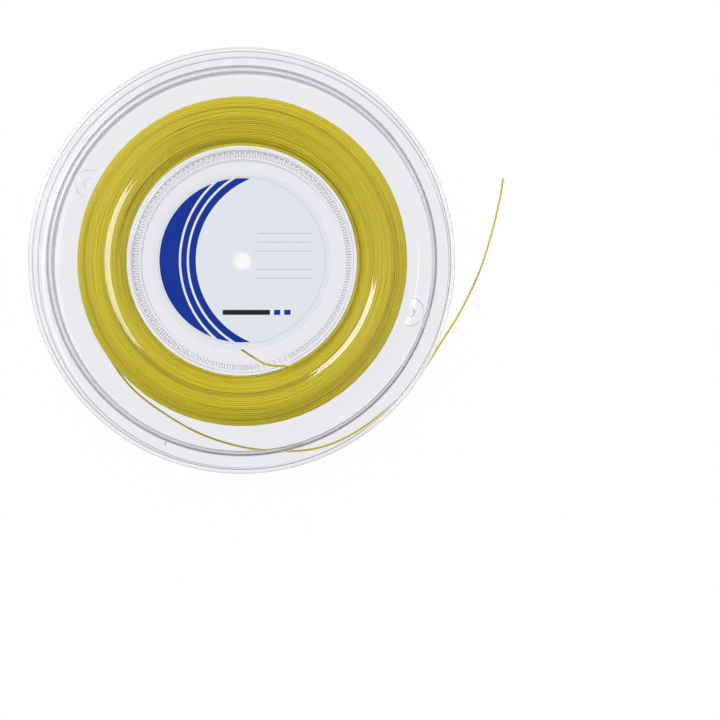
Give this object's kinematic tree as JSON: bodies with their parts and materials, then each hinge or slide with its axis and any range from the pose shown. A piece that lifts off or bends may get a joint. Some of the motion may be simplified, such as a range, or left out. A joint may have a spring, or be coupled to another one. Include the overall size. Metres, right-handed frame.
{
  "type": "string reel",
  "caption": "Clear moulded reel wound with yellow racket string, with a round label on its hub and the string's outer end lying loose beside it.",
  "frame": {"origin": "on the reel's axis, on the plane that the rear half's rim stands on", "axes": "+Z along the reel's axis from the rear half to the labelled front half, +Y to the top of the label, +X to its right, where the string's free end lies"},
  "size_m": [0.3026, 0.27, 0.0296],
  "materials": {
    "clear_plastic": "crystal-clear polystyrene, polished by the mould",
    "label_paper": "satin coated paper, printed",
    "string": "smooth, slightly translucent co-polyester monofilament"
  },
  "bodies": {
    "root": {"rear_half": "clear_plastic", "front_half": "clear_plastic", "label": "label_paper", "string_core": "string", "string_winding": "string", "string_lead": "string", "string_tail": "string"}
  },
  "joints": []
}
